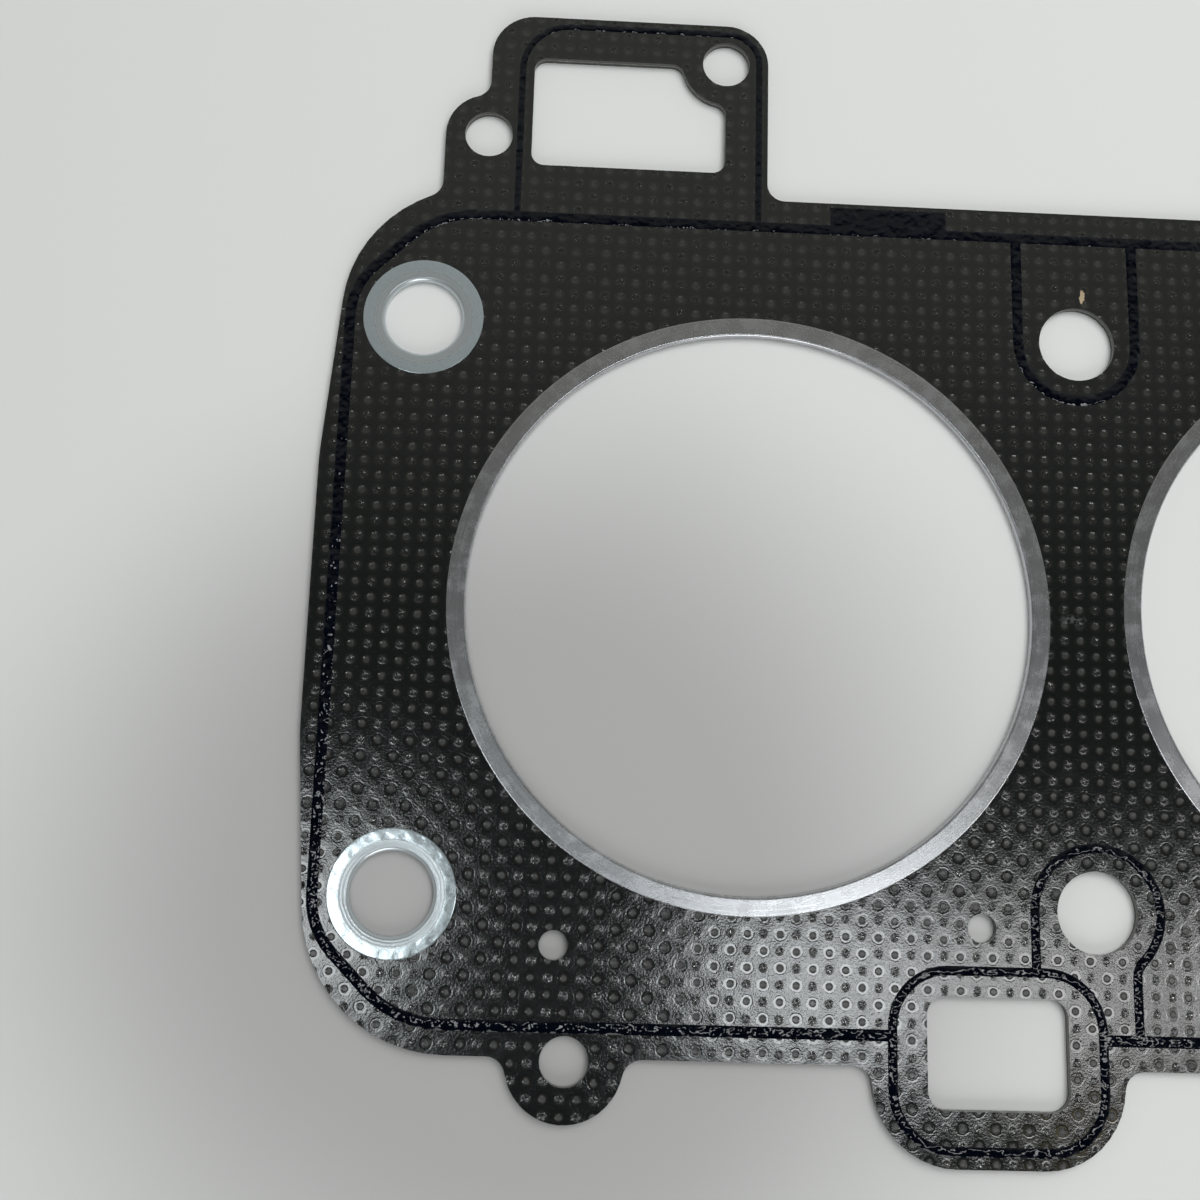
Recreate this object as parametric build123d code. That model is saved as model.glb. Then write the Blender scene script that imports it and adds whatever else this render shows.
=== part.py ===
from build123d import *
import os

# Cylinder head gasket for an inline four-cylinder engine, of the composite kind: two graphite
# facings clinched to a steel core, a folded steel fire ring round each bore, folded steel eyelets
# round the four corner head bolts, and a sealing bead printed on both faces.
#
# Millimetres. +X runs along the row from cylinder 1, +Y towards the tab side, +Z to the head.
# The origin is on the axis of cylinder 1, at half the gasket's thickness.

os.makedirs("parts", exist_ok=True)

# --- engine layout -------------------------------------------------------------------------------
cylinders = 4
bore_pitch = 120.0
bore_r = 50.0            # clear opening inside a fire ring
bolt_row = 51.1          # head bolt rows, either side of the line of bores
bolt_hole_r = 7.0
end_bolt = bore_pitch / 2
last_bore = (cylinders - 1) * bore_pitch

# --- sheet stack ---------------------------------------------------------------------------------
core_t = 0.3
facing_t = 0.6
body_top = core_t / 2 + facing_t
stands_proud = 0.12      # rings, eyelets and beads above the facings
gasket_top = body_top + stands_proud

# --- fire rings and eyelets: thin steel folded over both faces ------------------------------------
sheet_t = 0.2
flange_in_pocket = sheet_t - stands_proud
pocket_gap = 0.05        # between a pressed pocket's wall and the flange in it
ring_flange = 3.35
ring_bend_r = 0.45       # outer radius of the fold
eyelet_flange = 3.85
eyelet_bend_r = 0.75
coined_band = 0.5        # inner band of an eyelet's flange, struck a little lower
coined_depth = 0.05
ring_r = bore_r + ring_flange
eyelet_r = bolt_hole_r + eyelet_flange

# --- deck outline --------------------------------------------------------------------------------
end_margin = 17.05       # from the end bolts to the end of the deck
side_margin = 25.7       # from a bolt row to the side of the deck
deck_half = bolt_row + side_margin
deck_corner_r = 24.8
end_flat_half = 24.5     # half of the straight middle stretch of an end
end_taper = 4.15         # how far the end falls back towards its corners
end_blend_r = 60.0
inside_corner_r = 3.3    # smallest inside corner of the outline

# --- tab with the oil return window ---------------------------------------------------------------
tab_lug_r = 8.0          # land round a tab screw, and the tab's own corners
tab_screw_r = 4.45
tab_screw_x = -5.5
tab_screw_out = 27.4     # beyond the deck's side
side_screw_out = 10.8    # beyond the deck's side
tab_window_w = 36.25
tab_window_h = 21.8
tab_window_corner_r = 2.6
tab_window_drop = 0.5    # from the tab screw's axis down to the window's upper edge
tab_window_blend_r = 2.4
tab_window_land = 8.3    # the window keeps this far from the tab screw's axis
tab_wall = 8.0           # from the window to the tab's far side, which the side screw stands on

# --- lower lug and lower window tab ---------------------------------------------------------------
lower_lug_x = -30.2
lower_lug_out = 0.6      # beyond the deck's side
lower_lug_r = 9.9
lower_screw_r = 4.1
low_window_from_bolt = 17.7
low_window_w = 24.0
low_window_h = 18.3
low_window_corner_r = 3.2
low_window_in = 2.25     # window's centre inside the deck's side
low_tab_wall = 9.35      # beside the window
low_tab_foot = 9.1       # below the window
low_tab_corner_r = 14.0

# --- coolant jets: one pair for each bore ---------------------------------------------------------
jet_r = 2.45
jets = [(-32.6, -58.8), (40.0, -54.15)]

# --- printed sealing bead -------------------------------------------------------------------------
bead_w = 1.9
fine_bead_w = 1.25       # round the tab
port_bead_w = 1.6        # round the lower window and the lower bolts
tab_side_inset = 5.3     # bead's centreline from the deck's tab side
lower_side_inset = 4.85  # bead's centreline from the deck's lower side
bead_end_offset = 13.2   # bead's centreline beyond the end bolts
bead_chamfer = 14.9      # the bead cuts across each corner outside the eyelet
bead_chamfer_end_r = 13.3
bead_chamfer_row_r = 18.5
bolt_loop_r = 10.9       # bead's centreline round an inner head bolt
bolt_loop_neck = 6.4     # the lower loops' right leg, from the bolt's axis
bolt_loop_blend_r = 4.0
tab_bead_side_inset = 5.8
tab_bead_edge_inset = 1.7
tab_bead_left_r = 9.0
tab_bead_right_r = 5.9
port_bead_land = 5.85    # from the window to the bead's centreline, on either side
port_bead_head = 4.2     # above the window
port_bead_inset = 2.75   # from the lower tab's edge
port_bead_corner_r = 9.5
patch_x = 25.2           # solid printed field beside the tab
patch_w = 21.75
patch_edge_inset = 0.8

bolt_columns = [(k - 0.5) * bore_pitch for k in range(cylinders + 1)]
inner_columns = bolt_columns[1:-1]
end_columns = [bolt_columns[0], bolt_columns[-1]]
bead_top = deck_half - tab_side_inset
bead_bottom = -deck_half + lower_side_inset
bead_end = -end_bolt - bead_end_offset
bores = [k * bore_pitch for k in range(cylinders)]


def box_between(x0, x1, y0, y1):
    """Plain rectangle between two corners."""
    return Pos((x0 + x1) / 2, (y0 + y1) / 2) * Rectangle(x1 - x0, y1 - y0)


def rounded_box(x0, x1, y0, y1, r):
    """Rectangle between two corners, with all its corners rounded."""
    return Pos((x0 + x1) / 2, (y0 + y1) / 2) * RectangleRounded(x1 - x0, y1 - y0, r)


def mirrored_ends(points):
    """A left end's outline, from its lower to its upper side, and the same end at the far bore."""
    return points + [(last_bore - x, y) for x, y in reversed(points)]


def disc(x, y, r):
    return Pos(x, y) * Circle(r)


def band(area, width):
    """Ribbon of one width along the border of an area."""
    return offset(area, width / 2) - offset(area, -width / 2)


# --- outline -------------------------------------------------------------------------------------
end_x = -end_bolt - end_margin
corner_x = end_x + end_taper
tab_left = tab_screw_x - tab_window_w - tab_wall
tab_screw = (tab_screw_x, deck_half + tab_screw_out)
side_screw = (tab_left, deck_half + side_screw_out)
tab_right = tab_screw_x + tab_lug_r
tab_top = tab_screw[1] + tab_lug_r
lower_lug = (lower_lug_x, -deck_half - lower_lug_out)
low_window_x = end_bolt - low_window_from_bolt
low_window_top = -deck_half + low_window_in + low_window_h / 2
low_window_bottom = low_window_top - low_window_h
low_tab_bottom = low_window_bottom - low_tab_foot
low_tab_half = low_window_w / 2 + low_tab_wall


def deck():
    """Body of the deck: bowed ends, large corners."""
    end = [
        (corner_x, -deck_half),
        (end_x, -end_flat_half),
        (end_x, end_flat_half),
        (corner_x, deck_half),
    ]
    radii = [deck_corner_r, end_blend_r, end_blend_r, deck_corner_r]
    return make_face(FilletPolyline(mirrored_ends(end), radius=radii * 2, close=True))


def outline():
    """Whole outline of the laminate, with its tabs and lugs."""
    area = deck()
    area += rounded_box(tab_left, tab_right, 0, tab_top, tab_lug_r)
    area += disc(*side_screw, tab_lug_r)
    area += box_between(tab_left - tab_lug_r, tab_left, deck_half - deck_corner_r, side_screw[1])
    area += disc(*lower_lug, lower_lug_r)
    low_left = low_window_x - low_tab_half
    low_right = low_window_x + low_tab_half
    area += rounded_box(low_left, low_right, low_tab_bottom, 0, low_tab_corner_r)
    return offset(offset(area, inside_corner_r), -inside_corner_r)


def tab_window():
    """Oil return window, notched round the tab screw."""
    top = tab_screw[1] - tab_window_drop
    right = tab_screw[0]
    box = box_between(right - tab_window_w, right, top - tab_window_h, top)
    area = box - disc(*tab_screw, tab_window_land)
    return offset(offset(area, -tab_window_blend_r), tab_window_blend_r)


def low_window():
    left = low_window_x - low_window_w / 2
    right = low_window_x + low_window_w / 2
    return rounded_box(left, right, low_window_bottom, low_window_top, low_window_corner_r)


def small_holes():
    """Everything punched alike through all three layers."""
    holes = [disc(x, y, bolt_hole_r) for x in inner_columns for y in (-bolt_row, bolt_row)]
    holes += [disc(x + dx, y, jet_r) for x in bores for dx, y in jets]
    holes += [disc(*tab_screw, tab_screw_r), disc(*side_screw, tab_screw_r)]
    holes += [disc(*lower_lug, lower_screw_r), tab_window(), low_window()]
    return holes


def folded_holes():
    """Holes that a ring or an eyelet lines: wider by the sheet and its inside bend."""
    holes = [disc(x, 0, bore_r + ring_bend_r) for x in bores]
    holes += [disc(x, y, bolt_hole_r + eyelet_bend_r) for x in end_columns for y in (-bolt_row, bolt_row)]
    return holes


def laminate_sheet():
    area = outline()
    for hole in small_holes() + folded_holes():
        area -= hole
    return area


# --- laminate ------------------------------------------------------------------------------------
sheet = laminate_sheet()


def facing():
    """Upper graphite facing, with the pockets that the flanges are pressed into."""
    solid = Pos(0, 0, core_t / 2) * extrude(sheet, facing_t)
    floor = body_top - flange_in_pocket
    pockets = [(x, 0, ring_r, floor) for x in bores]
    for x in end_columns:
        for y in (-bolt_row, bolt_row):
            pockets.append((x, y, eyelet_r, floor))
            pockets.append((x, y, bolt_hole_r + eyelet_bend_r + coined_band, floor - coined_depth))
    for x, y, r, bottom in pockets:
        solid -= Pos(x, y, bottom) * extrude(Circle(r + pocket_gap), facing_t)
    return solid


def core():
    return Pos(0, 0, -core_t / 2) * extrude(sheet, core_t)


# --- folded rings --------------------------------------------------------------------------------
def folded_ring(opening_r, flange, bend_r, band_width=0.0, band_depth=0.0):
    """Thin sheet folded round an opening and flat on both faces, as one turned section."""
    outer = opening_r + flange
    lip = opening_r + bend_r
    step = lip + band_width
    low = gasket_top - band_depth
    wall = low - bend_r
    with BuildSketch(Plane.XZ) as half_section:
        with BuildLine():
            Line((opening_r, 0), (opening_r, wall))
            JernArc((opening_r, wall), (0, 1), bend_r, -90)
            if band_depth:
                Polyline((lip, low), (step, low), (step, gasket_top), (outer, gasket_top))
            else:
                Line((lip, low), (outer, gasket_top))
            Line((outer, gasket_top), (outer, gasket_top - sheet_t))
            if band_depth:
                Polyline((outer, gasket_top - sheet_t), (step, gasket_top - sheet_t), (step, low - sheet_t))
            Line((step if band_depth else outer, low - sheet_t), (lip, low - sheet_t))
            JernArc((lip, low - sheet_t), (-1, 0), bend_r - sheet_t, 90)
            Line((opening_r + sheet_t, wall), (opening_r + sheet_t, 0))
            Line((opening_r + sheet_t, 0), (opening_r, 0))
        make_face()
    upper = revolve(half_section.sketch, Axis.Z)
    return upper + mirror(upper, about=Plane.XY)


# --- printed bead --------------------------------------------------------------------------------
def perimeter_bead():
    """Closed run inside the deck's edge, cut across at each corner."""
    end = [
        (bead_end + bead_chamfer, bead_bottom),
        (bead_end, bead_bottom + bead_chamfer),
        (bead_end, bead_top - bead_chamfer),
        (bead_end + bead_chamfer, bead_top),
    ]
    radii = [bead_chamfer_row_r, bead_chamfer_end_r, bead_chamfer_end_r, bead_chamfer_row_r]
    loop = make_face(FilletPolyline(mirrored_ends(end), radius=radii * 2, close=True))
    return band(loop, bead_w)


def tab_bead():
    """Fine run up round the tab's window and its screw, from the perimeter run."""
    left = tab_left + tab_bead_side_inset
    right = tab_right - tab_bead_edge_inset
    top = tab_top - tab_bead_edge_inset
    path = FilletPolyline(
        (left, 0), (left, top), (right, top), (right, 0), radius=[tab_bead_left_r, tab_bead_right_r]
    )
    area = make_face(path + Line((right, 0), (left, 0)))
    return band(area, fine_bead_w) & box_between(tab_left, tab_right, bead_top, tab_top)


def upper_bolt_loop(x):
    """U-shaped run below an inner bolt of the upper row, open to the perimeter run."""
    area = disc(x, bolt_row, bolt_loop_r)
    area += box_between(x - bolt_loop_r, x + bolt_loop_r, bolt_row, deck_half)
    return band(area, bead_w) & box_between(x - bore_pitch / 2, x + bore_pitch / 2, 0, bead_top)


def lower_bolt_loop(x):
    """Run over an inner bolt of the lower row, with its right leg drawn in below the bolt."""
    area = disc(x, -bolt_row, bolt_loop_r)
    area += box_between(x - bolt_loop_r, x + bolt_loop_neck, -deck_half, -bolt_row)
    area = offset(offset(area, bolt_loop_blend_r), -bolt_loop_blend_r)
    return band(area, port_bead_w) & box_between(x - bore_pitch / 2, x + bore_pitch / 2, bead_bottom, 0)


def port_loop(inset):
    """Area inside the run round the lower window, drawn in by inset."""
    half = low_window_w / 2 + port_bead_land - inset
    bottom = low_tab_bottom + port_bead_inset + inset
    top = low_window_top + port_bead_head - inset
    corner_r = port_bead_corner_r - inset
    return rounded_box(low_window_x - half, low_window_x + half, bottom, top, corner_r)


def bead_network(with_patch):
    """One connected print: perimeter, tab, bolt and window runs."""
    area = perimeter_bead() + tab_bead()
    for x in inner_columns:
        area += upper_bolt_loop(x) + lower_bolt_loop(x)
    area -= port_loop(0)
    area += port_loop(-port_bead_w / 2) - port_loop(port_bead_w / 2)
    if with_patch:
        half = patch_w / 2
        area += box_between(patch_x - half, patch_x + half, bead_top, deck_half - patch_edge_inset)
    return area


def bead(with_patch):
    """Print on the upper facing."""
    return Pos(0, 0, body_top) * extrude(bead_network(with_patch), stands_proud)


# --- write the pieces ----------------------------------------------------------------------------
def save(piece, name):
    export_step(piece, f"parts/{name}.step")


upper = facing()
save(core(), "steel_core")
save(upper, "upper_facing")
save(mirror(upper, about=Plane.XY), "lower_facing")
save(bead(True), "upper_bead")
save(mirror(bead(False), about=Plane.XY), "lower_bead")

fire_ring = folded_ring(bore_r, ring_flange, ring_bend_r)
for number, x in enumerate(bores, start=1):
    save(Pos(x, 0) * fire_ring, f"fire_ring_{number}")

eyelet = folded_ring(bolt_hole_r, eyelet_flange, eyelet_bend_r, coined_band, coined_depth)
corners = [(x, y) for x in end_columns for y in (bolt_row, -bolt_row)]
for number, (x, y) in enumerate(corners, start=1):
    save(Pos(x, y) * eyelet, f"bolt_eyelet_{number}")
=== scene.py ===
import math
import bpy
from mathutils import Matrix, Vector


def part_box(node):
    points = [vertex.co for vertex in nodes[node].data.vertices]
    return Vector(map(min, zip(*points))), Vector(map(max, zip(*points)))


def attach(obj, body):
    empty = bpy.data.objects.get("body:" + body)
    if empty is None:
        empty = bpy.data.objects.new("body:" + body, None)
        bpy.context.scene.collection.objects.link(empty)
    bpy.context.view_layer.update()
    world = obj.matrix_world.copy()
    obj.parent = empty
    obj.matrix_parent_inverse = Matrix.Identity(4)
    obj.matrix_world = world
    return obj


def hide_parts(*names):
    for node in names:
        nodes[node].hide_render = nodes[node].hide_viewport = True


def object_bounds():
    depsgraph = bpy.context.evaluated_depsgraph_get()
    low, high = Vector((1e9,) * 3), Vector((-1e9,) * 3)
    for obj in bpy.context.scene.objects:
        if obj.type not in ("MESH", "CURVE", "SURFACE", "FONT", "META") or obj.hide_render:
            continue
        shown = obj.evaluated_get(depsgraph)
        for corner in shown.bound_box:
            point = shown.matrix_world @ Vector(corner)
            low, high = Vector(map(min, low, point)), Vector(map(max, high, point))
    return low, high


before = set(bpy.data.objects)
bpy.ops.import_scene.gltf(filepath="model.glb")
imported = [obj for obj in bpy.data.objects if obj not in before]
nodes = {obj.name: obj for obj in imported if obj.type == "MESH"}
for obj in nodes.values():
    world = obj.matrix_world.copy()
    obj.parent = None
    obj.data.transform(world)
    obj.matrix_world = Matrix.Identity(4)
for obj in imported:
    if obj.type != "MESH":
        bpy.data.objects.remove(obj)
cad_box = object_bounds()
mm = 0.001

# --- Camera ---------------------------------------------------------------------------------------
# The gasket lies flat, and the camera looks almost straight down on it from 227 mm above cylinder 1,
# so that only its left end is in view.
camera_data = bpy.data.cameras.new("camera")
camera_data.sensor_width = 36.0
camera_data.lens = 39.375
camera_data.clip_start = 0.01
camera = bpy.data.objects.new("camera", camera_data)
camera.location = Vector((-34.1, -41.0, 226.9)) * mm
camera.rotation_euler = [math.radians(a) for a in (10.225, -2.231, 1.676)]
bpy.context.scene.collection.objects.link(camera)
bpy.context.scene.camera = camera
bpy.context.scene.view_settings.view_transform = "Standard"


# --- Upper and lower graphite facings -------------------------------------------------------------
# Two sheets of expanded graphite with a dark, half-gloss coat, rolled onto the steel core. The
# core's tangs are clinched through them in a square lattice: every second mark is a smooth round
# dimple, where a tang went the other way, and the others are torn craters with a bent tip.
class Value:
    """A shader socket that Python's operators work on."""

    def __init__(self, tree, socket):
        self.tree = tree
        self.socket = socket

    def node(self, kind, *inputs, out=0, **settings):
        """New node of one kind: its settings first, then its sockets in order or by name."""
        made = self.tree.nodes.new("ShaderNode" + kind)
        named = settings.pop("named", {})
        for key, value in settings.items():
            setattr(made, key, value)
        for place, given in list(enumerate(inputs)) + list(named.items()):
            if isinstance(given, Value):
                self.tree.links.new(given.socket, made.inputs[place])
            else:
                made.inputs[place].default_value = given
        return Value(self.tree, made.outputs[out])

    def math(self, operation, *others):
        return self.node("Math", self, *others, operation=operation)

    def __add__(self, other):
        return self.math("ADD", other)

    def __radd__(self, other):
        return self.math("ADD", other)

    def __sub__(self, other):
        return self.math("SUBTRACT", other)

    def __rsub__(self, other):
        return self.node("Math", other, self, operation="SUBTRACT")

    def __mul__(self, other):
        return self.math("MULTIPLY", other)

    def __rmul__(self, other):
        return self.math("MULTIPLY", other)

    def __truediv__(self, other):
        return self.math("DIVIDE", other)

    def __rtruediv__(self, other):
        return self.node("Math", other, self, operation="DIVIDE")

    def __abs__(self):
        return self.math("ABSOLUTE")

    def round(self):
        return self.math("ROUND")

    def length(self, other):
        return (self * self + other * other).math("SQRT")

    def ramp(self, low, high, start=0.0, end=1.0):
        """Goes smoothly from start to end as the value goes from low to high."""
        return self.node("MapRange", self, low, high, start, end, interpolation_type="SMOOTHSTEP")

    def fade(self, near, far):
        """1 up to near, and smoothly down to 0 at far."""
        return self.ramp(near, far, 1.0, 0.0)

    def noise(self, scale, detail=2.0, roughness=0.5):
        named = {"Vector": self, "Scale": scale, "Detail": detail, "Roughness": roughness}
        return self.node("TexNoise", named=named)

    def cells(self, scale):
        return self.node("TexVoronoi", named={"Vector": self, "Scale": scale})

    def axes(self):
        """The x, y and z of a vector."""
        outputs = self.node("SeparateXYZ", self).socket.node.outputs
        return [Value(self.tree, output) for output in outputs]

    def mix(self, low, high):
        """Colour between two colours, by this value."""
        named = {"Factor": self, 6: low, 7: high}
        return self.node("Mix", named=named, data_type="RGBA", out=2)

    def bump(self, distance):
        named = {"Height": self, "Distance": distance, "Strength": 1.0}
        return self.node("Bump", named=named)


def finish_material(name, make):
    """A material whose Principled sockets come from make(x, y, z, place), all in millimetres."""
    material = bpy.data.materials.new(name)
    material.use_nodes = True
    tree = material.node_tree
    shader = tree.nodes["Principled BSDF"]
    coordinates = Value(tree, tree.nodes.new("ShaderNodeTexCoord").outputs["Object"])
    place = coordinates.node("VectorMath", coordinates, (1 / mm,) * 3, operation="MULTIPLY")
    x, y, z = place.axes()
    for socket, value in make(x, y, z, place).items():
        if isinstance(value, Value):
            tree.links.new(value.socket, shader.inputs[socket])
        else:
            shader.inputs[socket].default_value = value
    return material


def deselect_all():
    if bpy.context.object and bpy.context.object.mode != "OBJECT":
        bpy.ops.object.mode_set(mode="OBJECT")
    bpy.ops.object.select_all(action="DESELECT")


def pick(piece):
    deselect_all()
    piece.select_set(True)
    bpy.context.view_layer.objects.active = piece


def edit(piece, mode="VERT"):
    pick(piece)
    bpy.ops.object.mode_set(mode="EDIT")
    bpy.ops.mesh.select_mode(type=mode)
    bpy.ops.mesh.select_all(action="DESELECT")


def object_mode():
    bpy.ops.object.mode_set(mode="OBJECT")


def apply_modifier(piece, kind, **settings):
    pick(piece)
    modifier = piece.modifiers.new(kind.lower(), kind)
    for key, value in settings.items():
        setattr(modifier, key, value)
    bpy.ops.object.modifier_apply(modifier=modifier.name)


def face_outwards(piece):
    edit(piece)
    bpy.ops.mesh.select_all(action="SELECT")
    bpy.ops.mesh.normals_make_consistent(inside=False)
    object_mode()


def turn_over(piece):
    """Mirrors a piece from one face of the gasket to the other."""
    pick(piece)
    piece.scale = (1, 1, -1)
    bpy.ops.object.transform_apply(location=False, rotation=False, scale=True)
    face_outwards(piece)


def solid_copy(node, name):
    """A closed copy of a CAD node's loose triangles, to be worked on."""
    corner_weld = 0.002 * mm
    piece = nodes[node].copy()
    piece.data = nodes[node].data.copy()
    piece.name = name
    piece.parent = None
    for key in list(piece.keys()):
        del piece[key]
    bpy.context.scene.collection.objects.link(piece)
    edit(piece)
    bpy.ops.mesh.select_all(action="SELECT")
    bpy.ops.mesh.remove_doubles(threshold=corner_weld)
    object_mode()
    piece.data.materials.clear()
    return piece


tang_pitch = (2.78, 2.745)
tang_turn = math.radians(-0.3)
tang_anchor = (-0.06, -64.28)
dimple_r = 0.66
dimple_floor_r = 0.45
dimple_depth = 0.07
dimple_wall_share = 0.7
mark_corners = 8
crater_r = 0.62
crater_depth = 0.12
crater_burr = 0.014
crater_petals = 0.2


def mark_tile(name, ring_r, petals):
    """One square of the sheet, with an open round hole where its mark goes."""
    bpy.ops.mesh.primitive_plane_add(size=mm)
    tile = bpy.context.object
    tile.name = name
    tile.scale = (*tang_pitch, 1)
    bpy.ops.object.transform_apply(location=False, rotation=False, scale=True)
    edit(tile, "EDGE")
    bpy.ops.mesh.select_all(action="SELECT")
    bpy.ops.mesh.delete(type="ONLY_FACE")
    turn = (0, 0, math.pi / mark_corners)
    bpy.ops.mesh.primitive_circle_add(vertices=mark_corners, radius=ring_r * mm, rotation=turn)
    bpy.ops.mesh.select_all(action="SELECT")
    bpy.ops.mesh.bridge_edge_loops()
    object_mode()
    edit(tile)
    object_mode()
    hole = [v for v in tile.data.vertices if v.co.length < 1.1 * ring_r * mm]
    for place, corner in enumerate(hole):
        corner.select = True
        corner.co *= 1 + petals * (-1) ** place
    bpy.ops.object.mode_set(mode="EDIT")
    return tile


def smooth_dimple():
    tile = mark_tile("smooth_dimple", dimple_r, 0.0)
    shrink = dimple_floor_r / dimple_r
    wall = dimple_wall_share * dimple_depth
    bpy.ops.mesh.select_mode(type="EDGE")
    bpy.ops.mesh.extrude_edges_move(TRANSFORM_OT_translate={"value": (0, 0, -wall * mm)})
    bpy.ops.transform.resize(value=(shrink, shrink, 1))
    bpy.ops.mesh.edge_face_add()
    bpy.ops.mesh.poke(offset=(wall - dimple_depth) * mm)
    object_mode()
    return tile


def torn_crater():
    tile = mark_tile("torn_crater", crater_r, crater_petals)
    bpy.ops.transform.translate(value=(0, 0, crater_burr * mm))
    bpy.ops.mesh.select_mode(type="EDGE")
    bpy.ops.mesh.edge_face_add()
    bpy.ops.mesh.poke(offset=-(crater_depth + crater_burr) * mm)
    object_mode()
    return tile


def marked_sheet(name, surface_z, below):
    """A slab whose top carries the whole lattice of marks, larger than the gasket."""
    spare_tiles = 3
    slab_depth = 2 * mm
    tile_weld = 0.02 * mm
    low, high = cad_box
    first = []
    counts = []
    for pitch, anchor, start, end in zip(tang_pitch, tang_anchor, low, high):
        first.append(math.floor((start / mm - anchor) / pitch) - spare_tiles)
        counts.append(math.ceil((end - start) / mm / pitch / 2) + spare_tiles)
    tiles = []
    for column in range(2):
        for row in range(2):
            smooth = (first[0] + first[1] + column + row + below) % 2
            tile = smooth_dimple() if smooth else torn_crater()
            tile.location = Vector((column * tang_pitch[0], row * tang_pitch[1], 0)) * mm
            tiles.append(tile)
    deselect_all()
    for tile in tiles:
        tile.select_set(True)
    bpy.context.view_layer.objects.active = tiles[0]
    bpy.ops.object.join()
    sheet = bpy.context.object
    sheet.name = name
    sheet.location = (first[0] * tang_pitch[0] * mm, first[1] * tang_pitch[1] * mm, 0)
    bpy.ops.object.transform_apply(location=True, rotation=True, scale=True)
    for axis in range(2):
        step = [0.0, 0.0, 0.0]
        step[axis] = 2 * tang_pitch[axis] * mm
        apply_modifier(
            sheet,
            "ARRAY",
            count=counts[axis],
            use_relative_offset=False,
            use_constant_offset=True,
            constant_offset_displace=step,
            use_merge_vertices=True,
            merge_threshold=tile_weld / 2,
        )
    pick(sheet)
    sheet.rotation_euler.z = tang_turn
    sheet.location = (tang_anchor[0] * mm, tang_anchor[1] * mm, surface_z)
    bpy.ops.object.transform_apply(location=True, rotation=True, scale=False)
    edit(sheet)
    bpy.ops.mesh.select_all(action="SELECT")
    bpy.ops.mesh.remove_doubles(threshold=tile_weld)
    bpy.ops.mesh.select_mode(type="EDGE")
    bpy.ops.mesh.select_all(action="DESELECT")
    bpy.ops.mesh.select_non_manifold()
    bpy.ops.mesh.extrude_edges_move(TRANSFORM_OT_translate={"value": (0, 0, -slab_depth)})
    bpy.ops.mesh.edge_face_add()
    object_mode()
    face_outwards(sheet)
    return sheet


def dressed_facing(node, name):
    """The facing's own outline and pockets, with the marks pressed into its outer face."""
    low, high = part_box(node)
    below = high.z <= 0
    top_z = -low.z if below else high.z
    top_face = 0.02 * mm
    outline = solid_copy(node, name + "_outline")
    if below:
        turn_over(outline)
    for corner in outline.data.vertices:
        if corner.co.z > top_z - top_face:
            corner.co.z += mm
    sheet = marked_sheet(name, top_z - 0.5 * crater_burr * mm, below)
    apply_modifier(sheet, "BOOLEAN", operation="INTERSECT", object=outline, solver="MANIFOLD")
    bpy.data.objects.remove(outline)
    if below:
        turn_over(sheet)
    else:
        face_outwards(sheet)
    flat = math.cos(math.radians(4))
    crease = math.radians(11.5)
    edit(sheet, "FACE")
    object_mode()
    for face in sheet.data.polygons:
        face.select = abs(face.normal.z) > flat
    bpy.ops.object.mode_set(mode="EDIT")
    bpy.ops.mesh.region_to_loop()
    bpy.ops.mesh.mark_sharp()
    object_mode()
    bpy.ops.object.shade_smooth_by_angle(angle=crease, keep_sharp_edges=True)
    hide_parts(node)
    return sheet


def nearest_mark(x, y):
    """Column and row of the nearest tang mark in the lattice, and the distance from it."""
    across = x - tang_anchor[0]
    along = y - tang_anchor[1]
    column = (across * math.cos(tang_turn) + along * math.sin(tang_turn)) / tang_pitch[0]
    row = (along * math.cos(tang_turn) - across * math.sin(tang_turn)) / tang_pitch[1]
    nearest_column = column.round()
    nearest_row = row.round()
    off_column = (column - nearest_column) * tang_pitch[0]
    off_row = (row - nearest_row) * tang_pitch[1]
    return nearest_column, nearest_row, off_column.length(off_row)


coat_black = (0.0050, 0.0064, 0.0064, 1)
# A lighter ring round every mark: a painted highlight standing in for the raised, smoother lip that
# catches the light.
mark_halo_painted_highlight = (0.0125, 0.0127, 0.0114, 1)
dimple_grey = (0.0165, 0.0167, 0.0150, 1)
torn_black = (0.005, 0.005, 0.005, 1)
bent_tip = (0.45, 0.45, 0.43, 1)
fleck_tan = (0.40, 0.31, 0.19, 1)
scuff_grey = (0.06, 0.065, 0.066, 1)
coat_relief = 0.015 * mm
# Distances from a mark's middle over which each of its zones fades out.
painted_halo_fade = (0.8, 1.15)
lip_fade = (0.95, 1.2)
floor_fade = (0.4, 0.82)
torn_fade = (0.5, 0.85)
# One stuck fleck and one scuff, each longer than it is wide.
fleck_at = (61.4, 60.4)
fleck_fade = (1.2, 1.5)
fleck_slimness = 2.6
scuff_at = (57.4, -0.4)
scuff_fade = (0.8, 3.2)
scuff_slimness = 3.0


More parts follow.
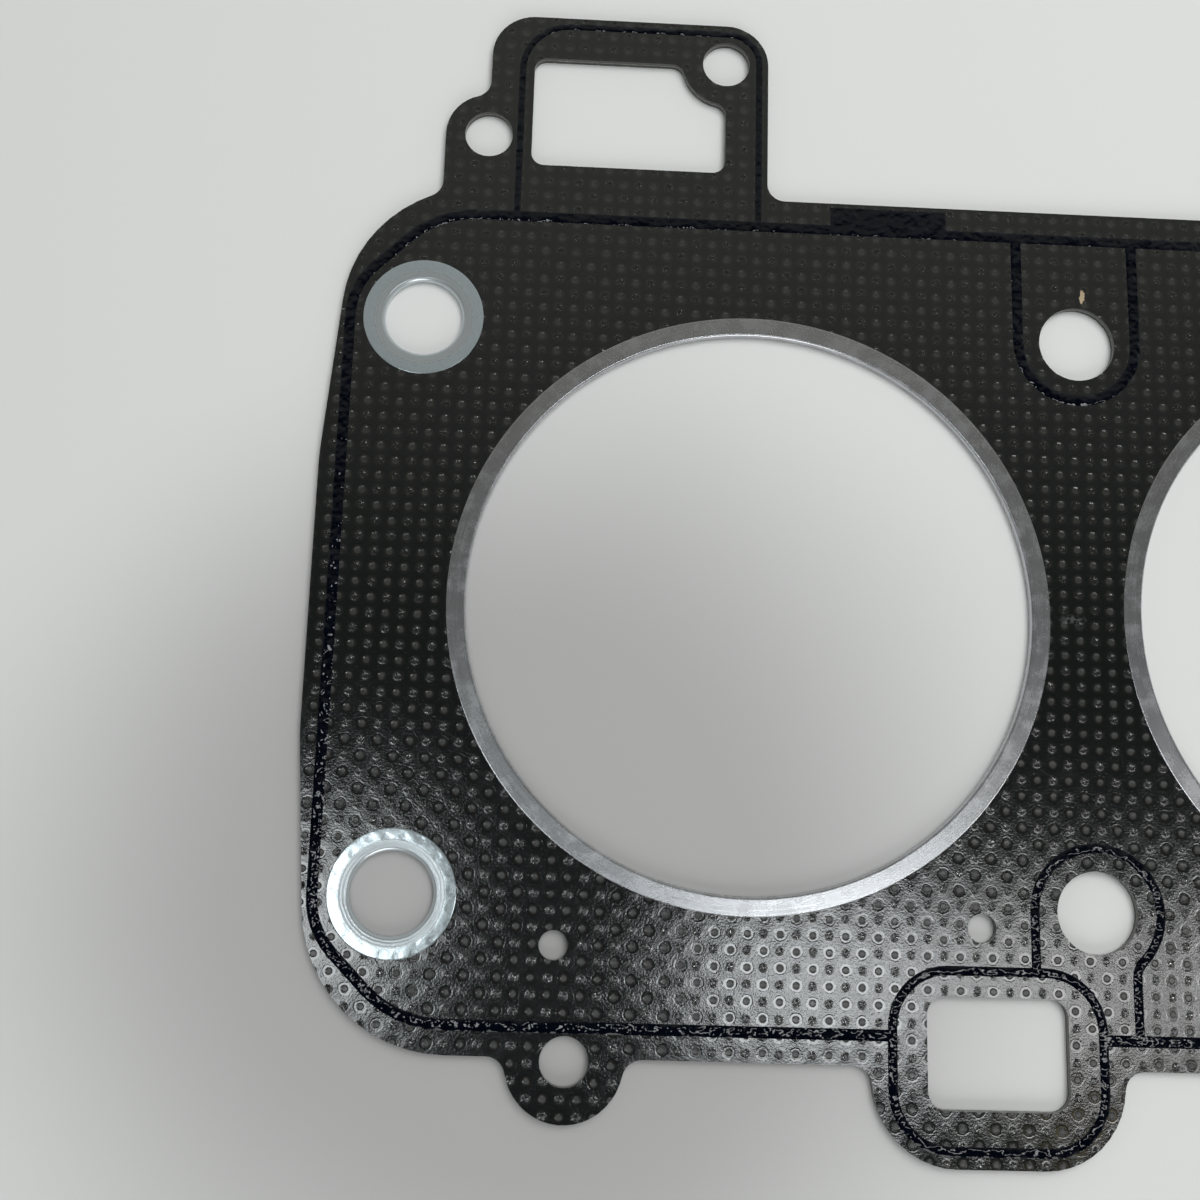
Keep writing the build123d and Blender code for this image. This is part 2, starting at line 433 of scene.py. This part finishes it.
def graphite(x, y, z, place):
    column, row, distance = nearest_mark(x, y)
    below = z.math("LESS_THAN", 0.0)
    upper = 1 - below
    parity = (column + row + below) * 0.5
    dimple = (parity - parity.math("FLOOR")) * 2.0
    crater = 1 - dimple
    mark = column.node("CombineXYZ", column, row, below)
    chance = mark.node("TexWhiteNoise", mark, noise_dimensions="3D")
    ragged = place.noise(0.9, 1.0) - 0.5
    shreds = place.noise(4.0, 1.0)
    crinkle = place.noise(3.2, 2.0, 0.55)
    grain = place.noise(9.0, 2.0)
    distance = distance + ragged * 0.45
    torn = crater * distance.fade(*torn_fade)
    floor = dimple * distance.fade(*floor_fade)
    lip = dimple * distance.fade(*lip_fade) - floor
    # Painted highlight: the lighter ring round each mark.
    painted_halo = distance.fade(*painted_halo_fade)
    tip = torn * shreds.ramp(0.66, 0.70)
    fleck_across = (x - fleck_at[0]) * fleck_slimness + ragged * 3.0
    fleck = upper * (y - fleck_at[1]).length(fleck_across).fade(*fleck_fade)
    scuff_across = (y - scuff_at[1]) * scuff_slimness
    scuff = upper * (x - scuff_at[0]).length(scuff_across).fade(*scuff_fade)
    scuff = scuff * place.noise(1.8, 2.0).ramp(0.42, 0.6)
    coat = floor.mix(painted_halo.mix(coat_black, mark_halo_painted_highlight), dimple_grey)
    worn = torn.mix(scuff.mix(coat, scuff_grey), torn_black)
    dull = grain.ramp(0.3, 0.7, 0.105, 0.14)
    marks_dull = floor * (0.14 + chance * 0.1) - lip * 0.05 + torn * 0.1
    height = crinkle * (1.15 - lip * 0.8 - floor) + torn * shreds * 1.8
    return {
        "Base Color": tip.mix(fleck.mix(worn, fleck_tan), bent_tip),
        "Metallic": tip,
        "Roughness": dull + marks_dull + fleck * 0.5,
        "Specular IOR Level": 1.0,
        "Normal": height.bump(coat_relief),
    }


graphite_finish = finish_material("graphite_coat", graphite)
for node, name in (("upper_facing", "upper_facing_skin"), ("lower_facing", "lower_facing_skin")):
    facing = dressed_facing(node, name)
    facing.data.materials.clear()
    facing.data.materials.append(graphite_finish)
    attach(facing, "root")


# --- Steel core -----------------------------------------------------------------------------------
# The tanged carrier sheet, mild steel 0.3 mm thick. Only its sheared edge shows, as a thin line
# between the facings.
edge_dark = (0.16, 0.155, 0.14, 1)
edge_bright = (0.30, 0.29, 0.27, 1)


def sheared_steel(x, y, z, place):
    drag = place.noise(2.0)
    return {
        "Base Color": drag.ramp(0.3, 0.7).mix(edge_dark, edge_bright),
        "Metallic": 0.9,
        "Roughness": drag.ramp(0.3, 0.7, 0.4, 0.6),
    }


core_finish = finish_material("sheared_steel", sheared_steel)
nodes["steel_core"].data.materials.clear()
nodes["steel_core"].data.materials.append(core_finish)


# --- Fire rings -----------------------------------------------------------------------------------
# Bright stainless strip, 0.2 mm thick, folded round each bore and rolled flat over both faces.
# The fold is round, and the rolls leave fine circling scratches and a few nicks on the flanges.
sheet_t = 0.2
edge_break = 0.05


def folded_sheet(name, section, bends, steps):
    """A sheet folded round an opening: its outer line is extruded point by point and spun."""
    same_corner = 0.01 * mm
    seam_weld = 0.001 * mm
    square_edge = math.radians(60)
    crease = math.radians(35)
    deselect_all()
    bpy.ops.mesh.primitive_plane_add(size=mm)
    ring = bpy.context.object
    ring.name = name
    edit(ring)
    bpy.ops.mesh.select_all(action="SELECT")
    bpy.ops.mesh.merge(type="CENTER")
    object_mode()
    ring.data.vertices[0].co = Vector((section[0][0], 0, section[0][1])) * mm
    ring.data.vertices[0].select = True
    bpy.ops.object.mode_set(mode="EDIT")
    for before, after in zip(section, section[1:]):
        step = Vector((after[0] - before[0], 0, after[1] - before[1])) * mm
        bpy.ops.mesh.extrude_region_move(TRANSFORM_OT_translate={"value": step})
    for (r, z), bend_r, bend_steps in bends:
        object_mode()
        edit(ring)
        object_mode()
        for corner in ring.data.vertices:
            corner.select = (corner.co - Vector((r, 0, z)) * mm).length < same_corner
        bpy.ops.object.mode_set(mode="EDIT")
        bpy.ops.mesh.bevel(offset=bend_r * mm, segments=bend_steps, affect="VERTICES")
    bpy.ops.mesh.select_all(action="SELECT")
    bpy.ops.mesh.spin(steps=steps, angle=2 * math.pi, center=(0, 0, 0), axis=(0, 0, 1))
    bpy.ops.mesh.select_all(action="SELECT")
    bpy.ops.mesh.remove_doubles(threshold=seam_weld)
    bpy.ops.mesh.normals_make_consistent(inside=False)
    object_mode()
    apply_modifier(ring, "SOLIDIFY", thickness=sheet_t * mm, offset=-1.0)
    apply_modifier(
        ring,
        "BEVEL",
        width=edge_break * mm,
        segments=2,
        limit_method="ANGLE",
        angle_limit=square_edge,
    )
    pick(ring)
    bpy.ops.object.shade_smooth_by_angle(angle=crease)
    return ring


def copies_of(first, name, count):
    """The first piece and its numbered copies, each with its own mesh."""
    pieces = [first]
    for number in range(2, count + 1):
        piece = first.copy()
        piece.data = first.data.copy()
        piece.name = f"{name}_{number}"
        bpy.context.scene.collection.objects.link(piece)
        pieces.append(piece)
    return pieces


def seat(piece, x, y):
    """Moves a piece to its place and writes the place into its mesh."""
    pick(piece)
    piece.location = (x, y, 0)
    bpy.ops.object.transform_apply(location=True, rotation=False, scale=False)


ring_low, ring_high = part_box("fire_ring_1")
gasket_top = ring_high.z / mm
ring_edge = ring_high.x / mm
bore_pitch = (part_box("fire_ring_2")[0].x - ring_low.x) / mm
bore_r = 50.0
bores = 4
ring_bend = 0.45
bend_margin = 0.15
edge_margin = 0.2
ring_steps = 240
ring_bend_steps = 6
rolled_dark = (0.50, 0.51, 0.52, 1)
rolled_bright = (0.58, 0.59, 0.61, 1)
rolled_relief = 0.009 * mm


def stainless(x, y, z, place):
    across = x - bore_pitch * (x / bore_pitch).round()
    radius = across.length(y)
    turned = radius.node("CombineXYZ", radius, across * 0.01, y * 0.01)
    rolling = turned.noise(9.0, 3.0, 0.6)
    rubs = place.noise(0.3, 3.0, 0.6)
    speckle = place.noise(5.0)
    nicks = place.cells(0.9).fade(0.05, 0.16)
    height = rolling * 0.14 + speckle * 0.5 - nicks * 0.4
    return {
        "Base Color": rubs.ramp(0.3, 0.7).mix(rolled_dark, rolled_bright),
        "Metallic": 0.95,
        "Roughness": rolling.ramp(0.3, 0.7, 0.22, 0.27) + rubs.ramp(0.4, 0.8, 0.0, 0.08),
        "Normal": height.bump(rolled_relief),
    }


flat_from = bore_r + ring_bend + bend_margin
flat_to = ring_edge - edge_margin
section = [(ring_edge, gasket_top), (flat_to, gasket_top), (flat_from, gasket_top), (bore_r, gasket_top)]
section += [(r, -z) for r, z in reversed(section)]
bends = [((bore_r, side * gasket_top), ring_bend, ring_bend_steps) for side in (1, -1)]
first_ring = folded_sheet("fire_ring_fold_1", section, bends, ring_steps)
first_ring.data.materials.append(finish_material("rolled_stainless", stainless))
for bore, ring in enumerate(copies_of(first_ring, "fire_ring_fold", bores)):
    seat(ring, bore * bore_pitch * mm, 0)
    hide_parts(f"fire_ring_{bore + 1}")
    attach(ring, "root")


# --- Corner bolt eyelets --------------------------------------------------------------------------
# Zinc-coated steel, folded like the rings but with a wider, softer lip. The coining tool leaves a
# shallow step round the lip and a few fine grooves.
eyelet_low, eyelet_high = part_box("bolt_eyelet_1")
eyelet_r = (eyelet_high.x - eyelet_low.x) / 2 / mm
corners = 4
bolt_r = 7.0
eyelet_bend = 0.75
coined_depth = 0.05
coined_from = 7.8
shoulder_r = 8.55
shoulder_drop = 0.1 * coined_depth
coined_to = 8.7
eyelet_steps = 96
eyelet_bend_steps = 8
centres = []
for corner in range(corners):
    low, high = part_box(f"bolt_eyelet_{corner + 1}")
    centres.append((low + high) / 2)
mid_x = sum(c.x for c in centres) / corners / mm
half_row = abs(centres[0].x / mm - mid_x)
bolt_row = abs(centres[0].y / mm)
zinc_dark = (0.42, 0.485, 0.505, 1)
zinc_pale = (0.47, 0.535, 0.56, 1)
coined_zinc = (0.58, 0.63, 0.65, 1)
zinc_relief = 0.02 * mm
groove_rate = 10.0


def zinc(x, y, z, place):
    across = abs(x - mid_x) - half_row
    along = abs(y) - bolt_row
    radius = across.length(along)
    wobbling = radius + place.noise(0.5, 1.0) * 0.25
    grooves = (wobbling * groove_rate).math("SINE") * radius.fade(8.3, 9.2)
    _, _, distance = nearest_mark(x, y)
    ragged = distance + (place.noise(0.9, 1.0) - 0.5) * 0.9
    pressed = ragged.fade(0.2, 1.2) * radius.ramp(8.5, 9.2)
    frost = place.noise(2.5, 3.0)
    sag = place.noise(0.3, 1.0)
    band = wobbling.fade(8.9, 9.3)
    flange = frost.ramp(0.3, 0.7).mix(zinc_dark, zinc_pale)
    height = grooves * 0.38 + frost * 0.08 - pressed * 0.5 + sag * 1.6
    return {
        "Base Color": band.mix(flange, coined_zinc),
        "Metallic": band.ramp(0.0, 1.0, 0.6, 0.8),
        "Roughness": frost.ramp(0.3, 0.7, 0.12, 0.16) + band * 0.16,
        "Normal": height.bump(zinc_relief),
    }


low_top = gasket_top - coined_depth
section = [
    (eyelet_r, gasket_top),
    (eyelet_r - edge_margin, gasket_top),
    (coined_to, gasket_top),
    (shoulder_r, gasket_top - shoulder_drop),
    (coined_from, low_top),
    (bolt_r, low_top),
]
section += [(r, -z) for r, z in reversed(section)]
bends = [((bolt_r, side * low_top), eyelet_bend, eyelet_bend_steps) for side in (1, -1)]
first_eyelet = folded_sheet("eyelet_fold_1", section, bends, eyelet_steps)
first_eyelet.data.materials.append(finish_material("zinc_coat", zinc))
for corner, eyelet in enumerate(copies_of(first_eyelet, "eyelet_fold", corners)):
    seat(eyelet, centres[corner].x, centres[corner].y)
    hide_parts(f"bolt_eyelet_{corner + 1}")
    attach(eyelet, "root")


# --- Printed sealing beads ------------------------------------------------------------------------
# Blue-black elastomer, screen-printed on both faces and cured. Each run is a low dome with steep
# flanks, and its skin has set in soft lumps.
dome_steps = ((0.15, 0.052), (0.2, 0.036), (0.24, 0.020))


def domed_bead(node, name):
    """The print's own outline, with its flat top drawn in three times into a low dome."""
    level = 0.9
    crease = math.radians(40)
    up = 1 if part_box(node)[1].z > 0 else -1
    dome_height = sum(rise for inwards, rise in dome_steps)
    bead = solid_copy(node, name)
    edit(bead, "FACE")
    object_mode()
    for face in bead.data.polygons:
        face.select = face.normal.z * up > level
    bpy.ops.object.mode_set(mode="EDIT")
    bpy.ops.transform.translate(value=(0, 0, -up * dome_height * mm))
    for inwards, rise in dome_steps:
        bpy.ops.mesh.inset(thickness=inwards * mm, depth=rise * mm, use_even_offset=True)
    object_mode()
    pick(bead)
    bpy.ops.object.shade_smooth_by_angle(angle=crease)
    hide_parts(node)
    return bead


print_black = (0.0004, 0.0010, 0.0034, 1)
print_blue = (0.0010, 0.0020, 0.0054, 1)
print_relief = 0.46 * mm


def elastomer(x, y, z, place):
    lumps = place.noise(0.5, 1.2) + place.noise(1.7, 0.0) * 0.1
    return {
        "Base Color": lumps.ramp(0.3, 0.7).mix(print_black, print_blue),
        "Roughness": lumps.ramp(0.3, 0.7, 0.05, 0.08),
        "Specular IOR Level": 0.42,
        "Normal": lumps.bump(print_relief),
    }


elastomer_finish = finish_material("printed_elastomer", elastomer)
for node, name in (("upper_bead", "upper_bead_dome"), ("lower_bead", "lower_bead_dome")):
    bead = domed_bead(node, name)
    bead.data.materials.append(elastomer_finish)
    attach(bead, "root")


# --- Floor and light ------------------------------------------------------------------------------
# A plain pale tabletop with a painted soft shadow, greyer near the lower left corner, and two soft
# lamps. Five flat panels hang high beyond the gasket's lower side, and its flat faces mirror them
# as glare.
tabletop_size = 6.0
middle_x = 0.18
# Painted shadow: the tabletop's colour goes grey round one point towards the lower left and pale further
# off.
tabletop_painted_shadow = (0.44, 0.44, 0.435, 1)
tabletop_pale = (0.77, 0.78, 0.77, 1)
painted_shadow_at = (-38.0, -50.0)
painted_shadow_to_pale = (50.0, 122.0)
deselect_all()
bpy.ops.mesh.primitive_plane_add(size=tabletop_size, location=(middle_x, 0, cad_box[0].z))
floor = bpy.context.object
floor.name = "tabletop"
bpy.ops.object.transform_apply(location=True, rotation=False, scale=False)


def tabletop(x, y, z, place):
    # Painted shadow: grey near that point, fading to pale with distance from it.
    away = (x - painted_shadow_at[0]).length(y - painted_shadow_at[1]) + place.noise(0.01, 1.0) * 20.0
    return {
        "Base Color": away.ramp(*painted_shadow_to_pale).mix(tabletop_painted_shadow, tabletop_pale),
        "Roughness": 0.7,
    }


floor.data.materials.append(finish_material("pale_tabletop", tabletop))

panel_height = 2.6


def panel(name, x_slopes, y_slopes, radiance, colour=(1.0, 1.0, 1.0)):
    """A flat lamp that faces down, covering the slopes at which the gasket's face mirrors it."""
    mirrored = Vector((camera.location.x, camera.location.y, 0))
    reach = panel_height + camera.location.z
    data = bpy.data.lights.new(name, "AREA")
    data.shape = "RECTANGLE"
    data.size = (x_slopes[1] - x_slopes[0]) * reach
    data.size_y = (y_slopes[1] - y_slopes[0]) * reach
    data.energy = radiance * math.pi * data.size * data.size_y
    data.color = colour
    lamp = bpy.data.objects.new(name, data)
    middle = Vector((sum(x_slopes) / 2 * reach, sum(y_slopes) / 2 * reach, panel_height))
    lamp.location = mirrored + middle
    bpy.context.scene.collection.objects.link(lamp)


panel("near_panel", (0.117, 0.29), (-0.15, -0.056), 7.8, (0.94, 0.98, 1.0))
panel("middle_panel", (0.30, 0.45), (-0.15, -0.06), 6.0)
panel("left_panel", (-0.28, -0.12), (-0.15, -0.01), 6.5, (0.93, 0.98, 1.0))
panel("far_panel", (0.50, 0.64), (-0.15, -0.055), 8.0)
panel("warm_panel", (0.37, 0.46), (-0.225, -0.185), 0.7, (1.0, 0.82, 0.38))


def soft_lamp(name, place, size, energy):
    """A square lamp that faces the gasket."""
    data = bpy.data.lights.new(name, "AREA")
    data.size = size
    data.energy = energy
    lamp = bpy.data.objects.new(name, data)
    lamp.location = place
    lamp.rotation_euler = (-lamp.location).to_track_quat("-Z", "Y").to_euler()
    bpy.context.scene.collection.objects.link(lamp)
    return lamp


key_lamp = soft_lamp("key_lamp", (0.22, 0.30, 0.75), 0.6, 3.9)
key_lamp.visible_glossy = False
soft_lamp("front_lamp", (0.1, -0.9, 0.55), 0.6, 3.0)

world = bpy.data.worlds.new("room")
bpy.context.scene.world = world
world.use_nodes = True
tree = world.node_tree
background = tree.nodes["Background"]
background.inputs["Strength"].default_value = 1.0
wall_grey = (0.45, 0.46, 0.46, 1)
dark_ceiling = (0.015, 0.015, 0.015, 1)
pale_ceiling = (0.29, 0.285, 0.26, 1)
towards = Value(tree, tree.nodes.new("ShaderNodeTexCoord").outputs["Generated"])
_, backwards, upwards = towards.axes()
ceiling = backwards.ramp(0.06, 0.58).mix(dark_ceiling, pale_ceiling)
shade = upwards.ramp(0.3, 0.8).mix(wall_grey, ceiling)
tree.links.new(shade.socket, background.inputs["Color"])
